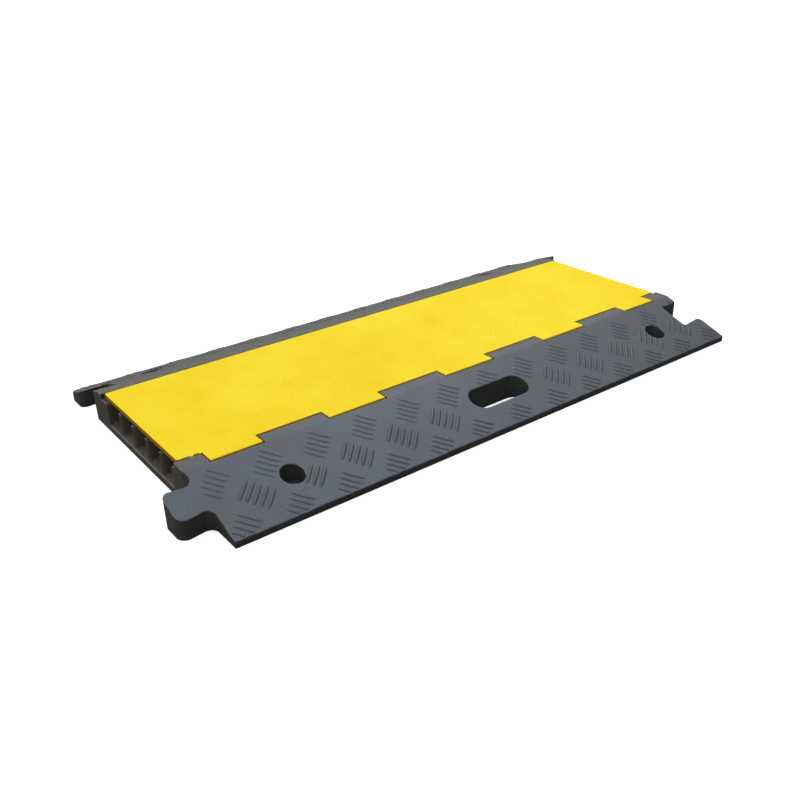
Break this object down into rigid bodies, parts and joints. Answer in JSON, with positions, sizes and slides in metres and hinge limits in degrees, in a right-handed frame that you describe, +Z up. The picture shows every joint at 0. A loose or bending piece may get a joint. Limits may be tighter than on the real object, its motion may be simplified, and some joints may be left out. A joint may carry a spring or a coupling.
{
  "type": "cable ramp",
  "caption": "Low rubber floor ramp with cable channels under a hinged yellow lid, a tongue and socket at the ends to couple units.",
  "frame": {"origin": "middle of the footprint, on the floor", "axes": "+X along the channels, with the front ramp's tongue towards -X; +Y across, away from the hinge and the hand slot; +Z up"},
  "size_m": [0.974, 0.5, 0.05],
  "materials": {
    "black_rubber": "moulded rubber with a satin skin and raised tread bars",
    "yellow_plastic": "moulded yellow plastic, satin, with faint tread bars",
    "steel": "plain steel rod"
  },
  "bodies": {
    "base": {"base": "black_rubber", "hinge_rod": "steel"},
    "lid": {"lid": "yellow_plastic"}
  },
  "joints": [
    {"name": "lid_hinge", "type": "hinge", "parent": "base", "child": "lid", "pos_m": [0, -0.1275, 0.045], "axis": [1, 0, 0], "range_deg": [0, 110]}
  ]
}
